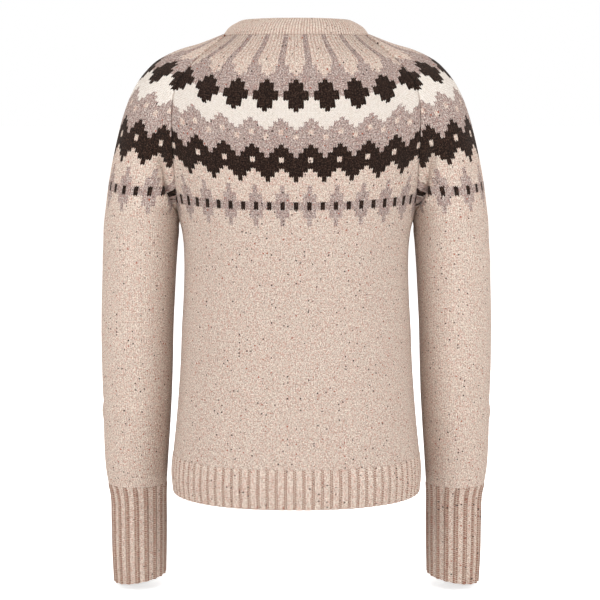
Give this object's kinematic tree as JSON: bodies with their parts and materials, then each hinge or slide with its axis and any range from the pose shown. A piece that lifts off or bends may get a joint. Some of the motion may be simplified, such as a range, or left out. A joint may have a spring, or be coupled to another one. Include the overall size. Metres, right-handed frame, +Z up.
{
  "type": "wool sweater, worn shape",
  "caption": "Hollow long-sleeved raglan pullover in its worn shape, with a patterned yoke, ribbed neckband, long ribbed cuffs and ribbed hem.",
  "frame": {"origin": "middle of the neck opening at the height of the back neck seam, where the wearer's neck and shoulders hold the garment", "axes": "+Z up, -Y the way the wearer faces, +X the wearer's left"},
  "size_m": [0.4584, 0.2447, 0.6714],
  "materials": {
    "knit": "fine wool stocking stitch, oatmeal marl with flecks",
    "rib": "ribbed wool, oatmeal marl with flecks"
  },
  "bodies": {
    "root": {"back": "knit", "front": "knit", "sleeve_left": "knit", "sleeve_right": "knit", "hem_rib": "rib", "cuff_left": "rib", "cuff_right": "rib", "neckband": "rib"}
  },
  "joints": []
}
